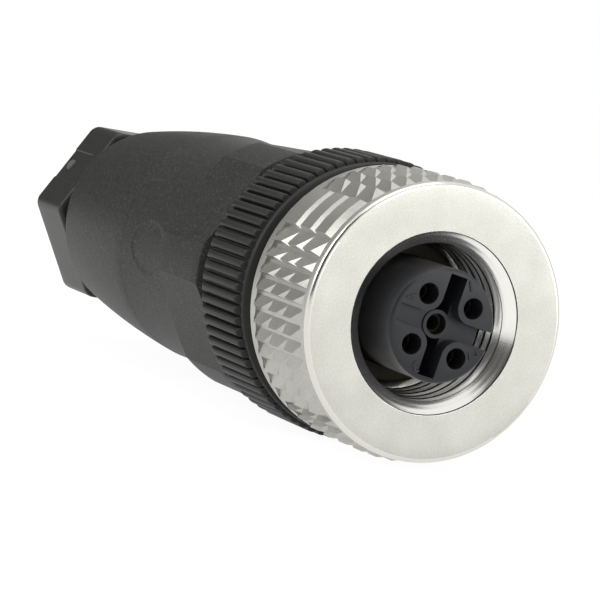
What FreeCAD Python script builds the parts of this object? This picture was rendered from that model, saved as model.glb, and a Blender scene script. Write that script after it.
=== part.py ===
import FreeCAD, Part
import math
import os
from FreeCAD import Vector

# Straight five-contact female M12 circular connector, wired on site with screw terminals.
# Millimetres. +X runs along the plug axis towards the mate, +Z is up, and the origin lies on
# the axis in the plane of the coupling nut's front face.
# Axial places are depths behind that face, so x = -depth. Clock angles start at +Z and turn
# clockwise as seen from the mating side.

# Coupling nut: turned and plated, M12 x 1 inside, three rows of knurl outside
NUT_LENGTH = 9.2
NUT_FACE_STEP = 0.28
NUT_FACE_ROUND = 0.28
NUT_REAR_STEP = 0.16
NUT_REAR_BAND = 1.0
NUT_REAR_CHAMFER = 0.2
MOUTH_RADIUS = 6.39
MOUTH_BEVEL = 0.22
MOUTH_DEPTH = 1.15
MOUTH_TAPER = 0.22
THREAD_MINOR_RADIUS = 5.46
THREAD_LEAD_IN = 0.35
THREAD_END = 6.3
RELIEF_RADIUS = 6.1
NUT_LIP = 1.2
NUT_PLAY = 0.1
NUT_RUNNING_GAP = 0.07

# Knurl: saw teeth around the nut, cut into rows that each rise from a cone to the full
# radius. The nut is cast in two halves, with one wide tooth on each parting line.
KNURL_RADIUS = 10.0
KNURL_DEPTH = 0.42
KNURL_ROW_DEPTH = 0.35
KNURL_ROWS = 3
KNURL_FRONT = 0.6
KNURL_CONE_LENGTH = 1.35
KNURL_STEEP_FLANK = 2.4
KNURL_PARTING_CLOCK = -51.2
KNURL_FIRST_GROOVE = 10.8
KNURL_SECOND_GROOVE = 20.8
KNURL_EVEN_STEPS = 20

# Contact insert: the moulded face with the five sockets, its flange and its neck
INSERT_TURN = 9.3
INSERT_RADIUS = 4.0
INSERT_RIM_ROUND = 0.35
FACE_PROUD = 1.1
FLANGE_RADIUS = 5.3
FLANGE_THICKNESS = 1.0
NECK_RADIUS = 4.65
CONTACT_CIRCLE_RADIUS = 2.55
ENTRY_RADIUS = 0.74
ENTRY_DEPTH = 1.9
CROSS_WIDTH = 1.3
CROSS_DEPTH = 1.1
SLOT_DEPTH = 4.0
SLOT_REACH = 3.6
SHALLOW_DEPTH = 0.5
SHALLOW_REACH = 3.55
KEYWAY_WIDTH = 1.2
KEYWAY_FLOOR_RADIUS = 3.2
CENTRE_RING_RADIUS = 1.0
CENTRE_RING_HEIGHT = 0.12

# Face seal: flat ring at the foot of the insert
FACE_SEAL_THICKNESS = 0.9
FACE_SEAL_RADIUS = 5.15
FACE_SEAL_BEVEL = 0.2

# Contacts: drilled sockets that run back to a clamp box each, with a lip in the entry hole
SOCKET_BORE_RADIUS = 0.53
SOCKET_BORE_DEPTH = 6.0
CONTACT_RADIUS = 0.88
CONTACT_LIP_RADIUS = 0.68
CONTACT_LIP_LENGTH = 0.25
CLAMP_SIDE = 3.0
CLAMP_LENGTH = 5.5
CLAMP_FLOOR = 0.35
CLAMP_ROOF = 0.75
CLAMP_WINDOW_WIDTH = 2.1
CLAMP_END_WALL = 0.9
CLAMP_OUTER_RADIUS = 5.4
SCREW_RADIUS = 0.97
SCREW_LENGTH = 2.05
SCREW_SLOT_WIDTH = 0.4
SCREW_SLOT_DEPTH = 0.5
SCREW_PLACE = 3.4
PLATE_THICKNESS = 0.25
PLATE_WIDTH = 1.9
PLATE_LENGTH = 3.4
PLATE_TOP_GAP = 0.2

# Terminal block: holds the four outer clamp boxes, and the fifth in a nose behind them
BLOCK_WALL = 1.2
BLOCK_CLAMP_DEPTH = 24.0
BLOCK_REAR_WALL = 5.0
NOSE_RADIUS = 2.95
NOSE_STEP = 0.5
NOSE_EXTRA = 0.4
ACCESS_RADIUS = 1.2
BLOCK_EDGE = 0.3

# Ribbed collar: moulded grip ring between the nut and the sleeve, with the sleeve's thread
COLLAR_GAP = 0.4
COLLAR_FRONT_RADIUS = 8.9
COLLAR_CONE = 0.75
COLLAR_RING_STEP = 0.15
COLLAR_RING_WIDTH = 0.85
RIB_COUNT = 78
RIB_PROUD = 0.2
RIB_HEIGHT = 0.4
RIB_LENGTH = 6.1
RIB_CREST_SHARE = 0.32
RIB_SHOULDER_SHARE = 0.68
RIB_SHOULDER_HEIGHT = 0.27
RIB_FOOT_SHARE = 0.86
RIB_FRONT_SLANT = 0.2
RIB_END_CHAMFER = 0.3
RIB_TURN = 4.0
COLLAR_WALL = 3.4
SPIGOT_WALL = 1.35
SPIGOT_LENGTH = 5.8
SPIGOT_CHAMFER = 0.4

# Body seal: O-ring at the root of the collar's thread
O_RING_SECTION = 0.5
O_RING_BED_DEPTH = 0.65
O_RING_SET_BACK = 0.75
O_RING_GROOVE_HALF = 0.55
O_RING_SIDES = 8

# Grip sleeve: moulded body with a six-sided hip, a plain waist and a tapered barrel
SLEEVE_GAP = 0.15
HIP_RADIUS = 9.75
HIP_FLAT_RADIUS = 9.07
HIP_LENGTH = 9.4
HIP_FRONT_DROP = 0.3
HIP_REAR_DROP = 0.2
HIP_CORNER_SETBACK = 1.4
HIP_CORNER_BEVEL = 0.2
HIP_STEP = 0.45
WAIST_FRONT_RADIUS = 8.86
WAIST_RADIUS = 8.8
WAIST_LENGTH = 9.2
BARREL_RADIUS = 8.9
BARREL_LENGTH = 16.5
BARREL_BELLY = 0.12
BARREL_END_RADIUS = 7.58
BARREL_END_ROUND = 1.1
O_RING_COVER_STEP = 0.45
O_RING_COVER_LENGTH = 1.5
SLEEVE_THREAD_LENGTH = 6.3
CAVITY_CLEARANCE = 0.5
CAVITY_SET_BACK = 0.15
TAIL_RADIUS = 5.5
TAIL_LENGTH = 3.6
TAIL_CHAMFER = 0.3
PAD_LENGTH = 6.4
PAD_WIDTH = 4.2
PAD_DEPTH = 0.1
PAD_BACK = 4.3
PAD_CLOCK = 268.0

# Cable seal and clamping cage in the sleeve's tail
POCKET_RADIUS = 4.45
POCKET_LENGTH = 13.45
SEAL_LENGTH = 6.5
CABLE_RADIUS = 2.75
SEAL_LAND_COUNT = 3
SEAL_LAND_GAP = 0.8
SEAL_LAND_DEPTH = 0.3
SEAL_EDGE = 0.3
CAGE_GAP = 0.3
CAGE_LENGTH = 7.5
CAGE_BORE_RADIUS = 3.15
CAGE_COLLAR_LENGTH = 2.2
CAGE_SLOT_COUNT = 6
CAGE_SLOT_WIDTH = 0.6
CAGE_TIP_RADIUS = 3.85
CAGE_TIP_LENGTH = 1.6

# Gland nut: moulded hexagon that closes the cage on the cable
GLAND_GAP = 0.4
GLAND_LENGTH = 5.9
GLAND_FLAT_RADIUS = 6.8
GLAND_CORNER_ROUND = 1.0
GLAND_FRONT_BEVEL = 0.25
GLAND_FRONT_DROP = 0.35
GLAND_REAR_CHAMFER = 0.5
GLAND_REAR_DROP = 1.0
GLAND_THREAD_CLEARANCE = 0.08
GLAND_END_WALL = 1.1
GLAND_HOLE_RADIUS = 3.3
GLAND_CONE_LENGTH = 1.0
GLAND_CONE_RADIUS = 4.6
GLAND_CONE_TIP_RADIUS = 3.6
GLAND_RECESS_WIDTH = 2.9
GLAND_RECESS_DEPTH = 0.14
GLAND_RECESS_SET_BACK = 0.6
GLAND_RECESS_CLOCK = -60.0
GATE_RADIUS = 0.5
GATE_ROOT = 0.5
GATE_SUNK = 0.04

# Clearances
FIT_GAP = 0.05
SLIDE_GAP = 0.1
THREAD_GAP = 0.07
CUT_PAST = 1.0

# Radii and depths worked out from the sizes above
NUT_FACE_RADIUS = KNURL_RADIUS - NUT_FACE_STEP
NUT_REAR_RADIUS = KNURL_RADIUS - NUT_REAR_STEP
KNURL_VALLEY_RADIUS = KNURL_RADIUS - KNURL_DEPTH
KNURL_END = NUT_LENGTH - NUT_REAR_BAND
COLLAR_RING_RADIUS = KNURL_RADIUS - COLLAR_RING_STEP
RIB_RADIUS = KNURL_RADIUS + RIB_PROUD
RIB_ROOT_RADIUS = RIB_RADIUS - RIB_HEIGHT
BLOCK_RADIUS = CLAMP_OUTER_RADIUS + BLOCK_WALL
SPIGOT_RADIUS = BLOCK_RADIUS + FIT_GAP + SPIGOT_WALL
O_RING_BED_RADIUS = SPIGOT_RADIUS - O_RING_BED_DEPTH
O_RING_COVER_RADIUS = SPIGOT_RADIUS + O_RING_COVER_STEP
CAVITY_RADIUS = BLOCK_RADIUS + CAVITY_CLEARANCE
NUT_LIP_DEPTH = NUT_LENGTH - NUT_LIP
FLANGE_REAR = NUT_LIP_DEPTH - NUT_PLAY
FLANGE_FRONT = FLANGE_REAR - FLANGE_THICKNESS
COLLAR_FRONT = NUT_LENGTH + COLLAR_GAP
COLLAR_RING_START = COLLAR_FRONT + COLLAR_CONE
RIB_START = COLLAR_RING_START + COLLAR_RING_WIDTH
RIB_END = RIB_START + RIB_LENGTH
SPIGOT_END = RIB_END + SPIGOT_LENGTH
BLOCK_FRONT = COLLAR_FRONT + COLLAR_WALL
BLOCK_END = BLOCK_CLAMP_DEPTH + CLAMP_LENGTH + BLOCK_REAR_WALL
NOSE_CLAMP_DEPTH = BLOCK_END + NOSE_STEP
NOSE_END = NOSE_CLAMP_DEPTH + CLAMP_LENGTH + NOSE_EXTRA
SLEEVE_FRONT = RIB_END + SLEEVE_GAP
HIP_END = SLEEVE_FRONT + HIP_LENGTH
WAIST_END = HIP_END + WAIST_LENGTH
BARREL_END = WAIST_END + BARREL_LENGTH
TAIL_END = BARREL_END + TAIL_LENGTH
CAVITY_END = WAIST_END + CAVITY_SET_BACK
POCKET_START = TAIL_END - POCKET_LENGTH
GLAND_FRONT = BARREL_END + GLAND_GAP
GLAND_END = GLAND_FRONT + GLAND_LENGTH
CLAMP_CENTRE_RADIUS = CLAMP_OUTER_RADIUS - CLAMP_SIDE / 2
CONTACT_CLOCKS = [INSERT_TURN + 45 + 90 * step for step in range(4)]


def place(depth, radius=0.0, clock=0.0):
    """The point at a depth behind the nut's face, a radius from the axis and a clock angle."""
    turn = math.radians(clock)
    return Vector(-depth, radius * math.sin(turn), radius * math.cos(turn))


def rounded_wire(points):
    """A closed wire through points, where a point may carry the radius of its rounding."""
    corners = [(Vector(*point[:3]), point[3] if len(point) > 3 else 0.0) for point in points]
    spans = []
    for index, (corner, radius) in enumerate(corners):
        before = (corners[index - 1][0] - corner).normalize()
        after = (corners[(index + 1) % len(corners)][0] - corner).normalize()
        if radius <= 0:
            spans.append((corner, None, corner))
            continue
        half = before.getAngle(after) / 2
        reach = radius / math.tan(half)
        middle = (before + after).normalize()
        centre = corner + middle * (radius / math.sin(half))
        spans.append((corner + before * reach, centre - middle * radius, corner + after * reach))
    edges = []
    for index, (start, middle, end) in enumerate(spans):
        if middle is not None:
            edges.append(Part.Arc(start, middle, end).toShape())
        following = spans[(index + 1) % len(spans)][0]
        if end.distanceToPoint(following) > 1e-6:
            edges.append(Part.LineSegment(end, following).toShape())
    return Part.Wire(edges)


def turned(outline):
    """A solid of revolution from (depth, radius, rounding) points around its section."""
    points = [(-point[0], 0.0, point[1]) + tuple(point[2:]) for point in outline]
    return Part.Face(rounded_wire(points)).revolve(Vector(0, 0, 0), Vector(1, 0, 0), 360)


def soft_corner(depth, radius, size, facing):
    """Three chords around an outer corner that faces the front (1) or the rear (-1)."""
    points = []
    for angle in (0, 30, 60, 90):
        turn = math.radians(angle)
        inward = size - size * math.cos(turn)
        points.append((depth + facing * inward, radius - size + size * math.sin(turn)))
    return points if facing > 0 else points[::-1]


def disc(radius, front, rear):
    """A plain cylinder on the axis between two depths."""
    return Part.makeCylinder(radius, rear - front, place(front), Vector(-1, 0, 0))


def bar(radius, front, rear, offset, clock):
    """A plain cylinder beside the axis between two depths."""
    return Part.makeCylinder(radius, rear - front, place(front, offset, clock), Vector(-1, 0, 0))


def spoke(radius, inner, outer, depth, clock):
    """A cylinder that points away from the axis."""
    return Part.makeCylinder(radius, outer - inner, place(depth, inner, clock), place(0, 1, clock))


def block(width, inner, outer, front, rear, clock):
    """A box with its height along the clock direction, from inner to outer."""
    box = Part.makeBox(rear - front, width, outer - inner, Vector(-rear, -width / 2, inner))
    box.rotate(Vector(0, 0, 0), Vector(1, 0, 0), -clock)
    return box


def star(outline, front, rear):
    """A prism along the axis from a closed list of (radius, clock) points."""
    points = [place(front, radius, clock) for radius, clock in outline]
    return Part.Face(Part.makePolygon(points + points[:1])).extrude(Vector(front - rear, 0, 0))


def hexagon(flat_radius, front, rear):
    """A six-sided prism with a flat at the top and the bottom."""
    corner = flat_radius / math.cos(math.radians(30))
    return star([(corner, 30 + 60 * step) for step in range(6)], front, rear)


def joined(shapes):
    """One solid from shapes that overlap or meet."""
    return shapes[0].multiFuse(shapes[1:]).removeSplitter()


def knurl_outline():
    """The knurl's section: long flanks face the parting lines, steep flanks face away."""
    span = 180 - 2 * KNURL_SECOND_GROOVE
    even = [KNURL_SECOND_GROOVE + span * step / KNURL_EVEN_STEPS for step in range(KNURL_EVEN_STEPS + 1)]
    valleys = [KNURL_FIRST_GROOVE] + even + [180 - KNURL_FIRST_GROOVE]
    half_crest = (KNURL_FIRST_GROOVE - KNURL_STEEP_FLANK) / 2
    outline = []
    for half in range(2):
        start = KNURL_PARTING_CLOCK + 180 * half
        outline += [(KNURL_RADIUS, start + half_crest * step) for step in (-1, 0, 1)]
        for valley in valleys:
            before = (KNURL_RADIUS, start + valley - KNURL_STEEP_FLANK)
            bottom = (KNURL_VALLEY_RADIUS, start + valley)
            after = (KNURL_RADIUS, start + valley + KNURL_STEEP_FLANK)
            if valley < 89.9:
                outline += [before, bottom]
            elif valley > 90.1:
                outline += [bottom, after]
            else:
                outline += [before, bottom, after]
    return outline


def make_coupling_nut():
    """Nut blank with its bore, and a ring of teeth in rows that step down behind each other."""
    lip_bore = NECK_RADIUS + NUT_RUNNING_GAP
    taper_radius = MOUTH_RADIUS - MOUTH_BEVEL
    blank = turned([(0.0, MOUTH_RADIUS)] + soft_corner(0.0, NUT_FACE_RADIUS, NUT_FACE_ROUND, 1) + [
        (KNURL_FRONT, NUT_FACE_RADIUS),
        (KNURL_FRONT, KNURL_VALLEY_RADIUS),
        (KNURL_END, KNURL_VALLEY_RADIUS),
        (KNURL_END, NUT_REAR_RADIUS),
        (NUT_LENGTH - NUT_REAR_CHAMFER, NUT_REAR_RADIUS),
        (NUT_LENGTH, NUT_REAR_RADIUS - NUT_REAR_CHAMFER),
        (NUT_LENGTH, lip_bore),
        (NUT_LIP_DEPTH, lip_bore),
        (NUT_LIP_DEPTH, RELIEF_RADIUS),
        (THREAD_END, RELIEF_RADIUS),
        (THREAD_END, THREAD_MINOR_RADIUS),
        (MOUTH_DEPTH + THREAD_LEAD_IN, THREAD_MINOR_RADIUS),
        (MOUTH_DEPTH, taper_radius - MOUTH_TAPER),
        (MOUTH_BEVEL, taper_radius),
    ])
    root = (THREAD_MINOR_RADIUS + KNURL_VALLEY_RADIUS) / 2
    rows = [(KNURL_FRONT, root)]
    row_length = (KNURL_END - KNURL_FRONT) / KNURL_ROWS
    slope = KNURL_ROW_DEPTH / KNURL_CONE_LENGTH
    for row in range(KNURL_ROWS):
        start = KNURL_FRONT + row_length * row
        rows.append((start, KNURL_RADIUS - KNURL_ROW_DEPTH))
        rows.append((start + KNURL_CONE_LENGTH + FIT_GAP / slope, KNURL_RADIUS + FIT_GAP))
        rows.append((start + row_length, KNURL_RADIUS + FIT_GAP))
    rows.append((KNURL_END, root))
    ring = turned(rows).common(star(knurl_outline(), KNURL_FRONT, KNURL_END))
    return joined([blank, ring])


def make_contact_insert():
    """Round insert with a cross sunk in its face, a keyway, and five stepped sockets."""
    face = -FACE_PROUD
    body = turned([(face, 0.0)] + soft_corner(face, INSERT_RADIUS, INSERT_RIM_ROUND, 1) + [
        (FLANGE_FRONT, INSERT_RADIUS),
        (FLANGE_FRONT, FLANGE_RADIUS),
        (FLANGE_REAR, FLANGE_RADIUS),
        (FLANGE_REAR, NECK_RADIUS),
        (BLOCK_FRONT - FIT_GAP, NECK_RADIUS),
        (BLOCK_FRONT - FIT_GAP, 0.0),
    ])
    floor = face + CROSS_DEPTH
    half = CROSS_WIDTH / 2
    square = CONTACT_CIRCLE_RADIUS * math.cos(math.radians(45))
    island = square - half
    centre = block(2 * square, -square, square, face - CUT_PAST, floor, INSERT_TURN)
    for clock in CONTACT_CLOCKS:
        centre = centre.cut(bar(island, face - CUT_PAST, floor, CONTACT_CIRCLE_RADIUS, clock))
    cuts = [centre]
    for clock in (INSERT_TURN, INSERT_TURN + 180):
        cuts.append(block(CROSS_WIDTH, half, SLOT_REACH, face - CUT_PAST, face + SLOT_DEPTH, clock))
    cuts.append(block(CROSS_WIDTH, half, SHALLOW_REACH, face - CUT_PAST, face + SHALLOW_DEPTH, INSERT_TURN + 270))
    keyway = INSERT_TURN + 90
    cuts.append(block(CROSS_WIDTH, half, INSERT_RADIUS + CUT_PAST, face - CUT_PAST, floor, keyway))
    cuts.append(block(KEYWAY_WIDTH, KEYWAY_FLOOR_RADIUS, INSERT_RADIUS + CUT_PAST, face - CUT_PAST,
                      FLANGE_FRONT - FACE_SEAL_THICKNESS - FIT_GAP, keyway))
    body = body.cut(centre.multiFuse(cuts[1:]))
    body = body.fuse(disc(CENTRE_RING_RADIUS, floor - CENTRE_RING_HEIGHT, floor + CENTRE_RING_HEIGHT))
    holes = [disc(ENTRY_RADIUS, face - CUT_PAST, face + ENTRY_DEPTH + FIT_GAP)]
    holes.append(disc(CONTACT_RADIUS + FIT_GAP, face + ENTRY_DEPTH, BLOCK_FRONT + CUT_PAST))
    for clock in CONTACT_CLOCKS:
        holes.append(bar(ENTRY_RADIUS, face - CUT_PAST, face + ENTRY_DEPTH + FIT_GAP, CONTACT_CIRCLE_RADIUS, clock))
        holes.append(bar(CONTACT_RADIUS + FIT_GAP, face + ENTRY_DEPTH, BLOCK_FRONT + CUT_PAST,
                         CONTACT_CIRCLE_RADIUS, clock))
    return body.cut(holes[0].multiFuse(holes[1:])).removeSplitter()


def make_face_seal():
    """Flat ring that the mating rim presses on."""
    front = FLANGE_FRONT - FACE_SEAL_THICKNESS
    return turned([
        (front, INSERT_RADIUS + FIT_GAP),
        (front, FACE_SEAL_RADIUS - FACE_SEAL_BEVEL),
        (front + FACE_SEAL_BEVEL, FACE_SEAL_RADIUS),
        (FLANGE_FRONT, FACE_SEAL_RADIUS),
        (FLANGE_FRONT, INSERT_RADIUS + FIT_GAP),
    ])


def clamp_frame(number):
    """Where a contact's clamp box lies: its front depth, its centre radius and its clock."""
    if number == 5:
        return NOSE_CLAMP_DEPTH, 0.0, INSERT_TURN + 90
    return BLOCK_CLAMP_DEPTH, CLAMP_CENTRE_RADIUS, CONTACT_CLOCKS[number - 1]


def make_contact(number):
    """Socket, shank and clamp box in one machined piece."""
    depth, centre, clock = clamp_frame(number)
    offset = 0.0 if number == 5 else CONTACT_CIRCLE_RADIUS
    front = ENTRY_DEPTH - FACE_PROUD + FIT_GAP
    shank = bar(CONTACT_RADIUS, front, depth + FIT_GAP, offset, clock)
    lip = bar(CONTACT_LIP_RADIUS, front - CONTACT_LIP_LENGTH, front + FIT_GAP, offset, clock)
    inner = centre - CLAMP_SIDE / 2
    outer = centre + CLAMP_SIDE / 2
    box = block(CLAMP_SIDE, inner, outer, depth, depth + CLAMP_LENGTH, clock)
    window = block(CLAMP_WINDOW_WIDTH, inner + CLAMP_FLOOR, outer - CLAMP_ROOF,
                   depth + CLAMP_END_WALL, depth + CLAMP_LENGTH + CUT_PAST, clock)
    screw_hole = spoke(SCREW_RADIUS + FIT_GAP, centre, outer + CUT_PAST, depth + SCREW_PLACE, clock)
    socket = bar(SOCKET_BORE_RADIUS, front - CUT_PAST, front + SOCKET_BORE_DEPTH, offset, clock)
    return shank.multiFuse([lip, box]).cut(window.multiFuse([screw_hole, socket])).removeSplitter()


def make_pressure_plate(number):
    """Loose plate between the screw's tip and the wire."""
    depth, centre, clock = clamp_frame(number)
    top = centre + CLAMP_SIDE / 2 - CLAMP_ROOF - PLATE_TOP_GAP
    front = depth + SCREW_PLACE - PLATE_LENGTH / 2
    return block(PLATE_WIDTH, top - PLATE_THICKNESS, top, front, front + PLATE_LENGTH, clock)


def make_terminal_screw(number):
    """Slotted headless screw, shown backed off for wiring."""
    depth, centre, clock = clamp_frame(number)
    tip = centre + CLAMP_SIDE / 2 - CLAMP_ROOF - PLATE_TOP_GAP
    top = tip + SCREW_LENGTH
    middle = depth + SCREW_PLACE
    screw = spoke(SCREW_RADIUS, tip, top, middle, clock)
    slot = block(4 * SCREW_RADIUS, top - SCREW_SLOT_DEPTH, top + CUT_PAST,
                 middle - SCREW_SLOT_WIDTH / 2, middle + SCREW_SLOT_WIDTH / 2, clock)
    return screw.cut(slot)


def make_terminal_block():
    """Round moulding with a chamber for each clamp box and a hole over each screw."""
    body = turned([
        (BLOCK_FRONT, 0.0),
        (BLOCK_FRONT, BLOCK_RADIUS - BLOCK_EDGE),
        (BLOCK_FRONT + BLOCK_EDGE, BLOCK_RADIUS),
        (BLOCK_END - BLOCK_EDGE, BLOCK_RADIUS),
        (BLOCK_END, BLOCK_RADIUS - BLOCK_EDGE),
        (BLOCK_END, NOSE_RADIUS),
        (NOSE_END - BLOCK_EDGE, NOSE_RADIUS),
        (NOSE_END, NOSE_RADIUS - BLOCK_EDGE),
        (NOSE_END, 0.0),
    ])
    cuts = []
    for number in range(1, 6):
        depth, centre, clock = clamp_frame(number)
        offset = 0.0 if number == 5 else CONTACT_CIRCLE_RADIUS
        half = CLAMP_SIDE / 2 + FIT_GAP
        cuts.append(bar(CONTACT_RADIUS + FIT_GAP, BLOCK_FRONT - CUT_PAST, depth + SLIDE_GAP, offset, clock))
        cuts.append(block(2 * half, centre - half, centre + half, depth - FIT_GAP, NOSE_END + CUT_PAST, clock))
        cuts.append(spoke(ACCESS_RADIUS, centre, BLOCK_RADIUS + CUT_PAST, depth + SCREW_PLACE, clock))
    return body.cut(cuts[0].multiFuse(cuts[1:])).removeSplitter()


def make_ribbed_collar():
    """Grip ring with half-round ribs, and the threaded spigot that the sleeve screws on to."""
    outer = turned([
        (COLLAR_FRONT, NECK_RADIUS + FIT_GAP),
        (COLLAR_FRONT, COLLAR_FRONT_RADIUS),
        (COLLAR_RING_START, COLLAR_RING_RADIUS),
        (RIB_START, COLLAR_RING_RADIUS),
        (RIB_START, RIB_ROOT_RADIUS),
        (RIB_END, RIB_ROOT_RADIUS),
        (RIB_END, SPIGOT_RADIUS),
        (RIB_END + O_RING_SET_BACK - O_RING_GROOVE_HALF, SPIGOT_RADIUS),
        (RIB_END + O_RING_SET_BACK - O_RING_GROOVE_HALF, O_RING_BED_RADIUS),
        (RIB_END + O_RING_SET_BACK + O_RING_GROOVE_HALF, O_RING_BED_RADIUS),
        (RIB_END + O_RING_SET_BACK + O_RING_GROOVE_HALF, SPIGOT_RADIUS),
        (SPIGOT_END - SPIGOT_CHAMFER, SPIGOT_RADIUS),
        (SPIGOT_END, SPIGOT_RADIUS - SPIGOT_CHAMFER),
        (SPIGOT_END, BLOCK_RADIUS + FIT_GAP),
        (BLOCK_FRONT, BLOCK_RADIUS + FIT_GAP),
        (BLOCK_FRONT, NECK_RADIUS + FIT_GAP),
    ])
    root = (SPIGOT_RADIUS + RIB_ROOT_RADIUS) / 2
    ends = turned([
        (RIB_START, root),
        (RIB_START, COLLAR_RING_RADIUS),
        (RIB_START + RIB_FRONT_SLANT, RIB_RADIUS + FIT_GAP),
        (RIB_END - RIB_END_CHAMFER, RIB_RADIUS + FIT_GAP),
        (RIB_END, RIB_RADIUS + FIT_GAP - RIB_END_CHAMFER),
        (RIB_END, root),
    ])
    half_step = 180 / RIB_COUNT
    foot = RIB_FOOT_SHARE * half_step
    shoulder = RIB_SHOULDER_SHARE * half_step
    flat = RIB_CREST_SHARE * half_step
    outline = []
    for rib in range(RIB_COUNT):
        middle = RIB_TURN + 2 * half_step * rib
        outline += [
            (RIB_ROOT_RADIUS, middle - foot),
            (RIB_ROOT_RADIUS + RIB_SHOULDER_HEIGHT, middle - shoulder),
            (RIB_RADIUS, middle - flat),
            (RIB_RADIUS, middle + flat),
            (RIB_ROOT_RADIUS + RIB_SHOULDER_HEIGHT, middle + shoulder),
            (RIB_ROOT_RADIUS, middle + foot),
        ]
    ribs = ends.common(star(outline, RIB_START, RIB_END))
    return joined([outer, ribs])


def make_body_seal():
    """O-ring in the groove at the root of the spigot."""
    middle = RIB_END + O_RING_SET_BACK
    section = []
    for side in range(O_RING_SIDES):
        turn = 2 * math.pi * (side + 0.5) / O_RING_SIDES
        section.append((middle + O_RING_SECTION * math.cos(turn),
                        O_RING_BED_RADIUS + O_RING_SECTION * (1 + math.sin(turn))))
    return turned(section)


def sleeve_outline():
    """The sleeve's outer section behind the hip, from the waist to the end of the tail."""
    belly = (BARREL_RADIUS + BARREL_END_RADIUS) / 2 + BARREL_BELLY
    return [
        (HIP_END - HIP_STEP, 0.0),
        (HIP_END - HIP_STEP, HIP_FLAT_RADIUS - HIP_REAR_DROP),
        (HIP_END, WAIST_FRONT_RADIUS),
        ((HIP_END + WAIST_END) / 2, WAIST_RADIUS),
        (WAIST_END, BARREL_RADIUS),
        ((WAIST_END + BARREL_END) / 2, belly),
    ] + soft_corner(BARREL_END, BARREL_END_RADIUS, BARREL_END_ROUND, -1) + [
        (BARREL_END, TAIL_RADIUS),
        (TAIL_END - TAIL_CHAMFER, TAIL_RADIUS),
        (TAIL_END, TAIL_RADIUS - TAIL_CHAMFER),
        (TAIL_END, 0.0),
    ]


def make_grip_sleeve():
    """Hollow body: hexagonal hip with rounded corners, waist, barrel and threaded tail."""
    hip = turned([
        (SLEEVE_FRONT, 0.0),
        (SLEEVE_FRONT, HIP_FLAT_RADIUS - HIP_FRONT_DROP),
        (SLEEVE_FRONT + HIP_CORNER_SETBACK, HIP_RADIUS),
        (HIP_END - HIP_STEP - HIP_CORNER_BEVEL, HIP_RADIUS),
        (HIP_END - HIP_STEP, HIP_RADIUS - HIP_CORNER_BEVEL),
        (HIP_END, WAIST_FRONT_RADIUS),
        (HIP_END, 0.0),
    ]).common(hexagon(HIP_FLAT_RADIUS, SLEEVE_FRONT, HIP_END))
    body = joined([hip, turned(sleeve_outline())])
    hollow = turned([
        (SLEEVE_FRONT - CUT_PAST, 0.0),
        (SLEEVE_FRONT - CUT_PAST, O_RING_COVER_RADIUS),
        (SLEEVE_FRONT + O_RING_COVER_LENGTH, O_RING_COVER_RADIUS),
        (SLEEVE_FRONT + O_RING_COVER_LENGTH, SPIGOT_RADIUS + THREAD_GAP),
        (SLEEVE_FRONT + SLEEVE_THREAD_LENGTH, SPIGOT_RADIUS + THREAD_GAP),
        (SLEEVE_FRONT + SLEEVE_THREAD_LENGTH, CAVITY_RADIUS),
        (CAVITY_END, CAVITY_RADIUS),
        (POCKET_START, POCKET_RADIUS),
        (TAIL_END + CUT_PAST, POCKET_RADIUS),
        (TAIL_END + CUT_PAST, 0.0),
    ])
    body = body.cut(hollow)
    middle = HIP_END + PAD_BACK
    oval = Part.Ellipse(Vector(-middle, 0, 0), PAD_LENGTH / 2, PAD_WIDTH / 2).toShape()
    pad = Part.Face(Part.Wire([oval])).extrude(Vector(0, 0, HIP_RADIUS + CUT_PAST))
    pad.rotate(Vector(0, 0, 0), Vector(1, 0, 0), -PAD_CLOCK)
    pad = pad.cut(disc(WAIST_RADIUS - PAD_DEPTH, HIP_END - PAD_LENGTH, WAIST_END + PAD_LENGTH))
    return body.cut(pad)


def make_cable_seal():
    """Rubber grommet with lands around it."""
    front = POCKET_START + SLIDE_GAP
    rear = front + SEAL_LENGTH
    outer = POCKET_RADIUS - SLIDE_GAP
    body = turned([
        (front, CABLE_RADIUS),
        (front, outer - SEAL_EDGE),
        (front + SEAL_EDGE, outer),
        (rear - SEAL_EDGE, outer),
        (rear, outer - SEAL_EDGE),
        (rear, CABLE_RADIUS),
    ])
    pitch = SEAL_LENGTH / (SEAL_LAND_COUNT + 1)
    for land in range(SEAL_LAND_COUNT):
        middle = front + pitch * (land + 1)
        groove = turned([
            (middle - SEAL_LAND_GAP / 2, outer + CUT_PAST),
            (middle - SEAL_LAND_GAP / 2, outer - SEAL_LAND_DEPTH),
            (middle + SEAL_LAND_GAP / 2, outer - SEAL_LAND_DEPTH),
            (middle + SEAL_LAND_GAP / 2, outer + CUT_PAST),
        ])
        body = body.cut(groove)
    return body


def make_clamp_cage():
    """Slotted cage whose fingers close on the cable."""
    front = POCKET_START + SLIDE_GAP + SEAL_LENGTH + CAGE_GAP
    rear = front + CAGE_LENGTH
    outer = POCKET_RADIUS - SLIDE_GAP
    body = turned([
        (front, CAGE_BORE_RADIUS),
        (front, outer),
        (rear - CAGE_TIP_LENGTH, outer),
        (rear, CAGE_TIP_RADIUS),
        (rear, CAGE_BORE_RADIUS),
    ])
    slots = []
    for slot in range(CAGE_SLOT_COUNT):
        clock = 360 / CAGE_SLOT_COUNT * (slot + 0.5)
        slots.append(block(CAGE_SLOT_WIDTH, 0.0, outer + CUT_PAST, front + CAGE_COLLAR_LENGTH, rear + CUT_PAST, clock))
    return body.cut(slots[0].multiFuse(slots[1:]))


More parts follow.
